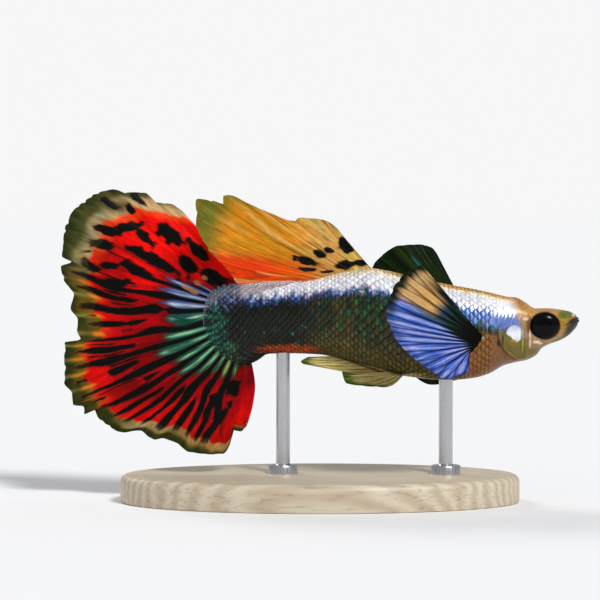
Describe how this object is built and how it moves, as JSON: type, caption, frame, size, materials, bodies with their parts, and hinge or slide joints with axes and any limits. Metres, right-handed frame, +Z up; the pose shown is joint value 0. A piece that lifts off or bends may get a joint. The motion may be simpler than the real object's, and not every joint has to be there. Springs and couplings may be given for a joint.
{
  "type": "fancy guppy display model",
  "caption": "Life-size display model of a male fancy guppy with a broad fan tail, a trailing back fin and wide side fins, held over an oval base by two rods.",
  "frame": {"origin": "centre of the base's flat underside", "axes": "+X towards the fish's snout, +Y towards its left side, +Z up"},
  "size_m": [0.0518, 0.024, 0.0312],
  "materials": {
    "head_skin": "moist and glossy, tan-orange to olive, with a silver patch on the gill cover",
    "body_skin": "small overlapping iridescent scales, silver-blue back over dark green flanks",
    "eye_black": "wet gloss",
    "tail_membrane": "thin membrane over rays, red with black streaks and an olive edge",
    "dorsal_membrane": "thin membrane over rays, orange and gold with black spots",
    "side_membrane": "thin iridescent membrane over black rays, blue below and dark green above",
    "belly_membrane": "thin membrane over rays, straw yellow with green tips",
    "stand_base": "pale limed ash, satin",
    "stand_rod": "satin, brushed along the rod"
  },
  "bodies": {
    "root": {"head": "head_skin", "lower_jaw": "head_skin", "gill_cover_right": "head_skin", "gill_cover_left": "head_skin", "eye_right": "eye_black", "eye_left": "eye_black", "trunk": "body_skin", "tail_stem": "body_skin", "tail_fin": "tail_membrane", "dorsal_fin": "dorsal_membrane", "pectoral_fin_right": "side_membrane", "pectoral_fin_left": "side_membrane", "pelvic_fin_right": "belly_membrane", "pelvic_fin_left": "belly_membrane", "anal_fin": "belly_membrane", "stand_base": "stand_base", "stand_rod_front": "stand_rod", "stand_rod_rear": "stand_rod"}
  },
  "joints": []
}
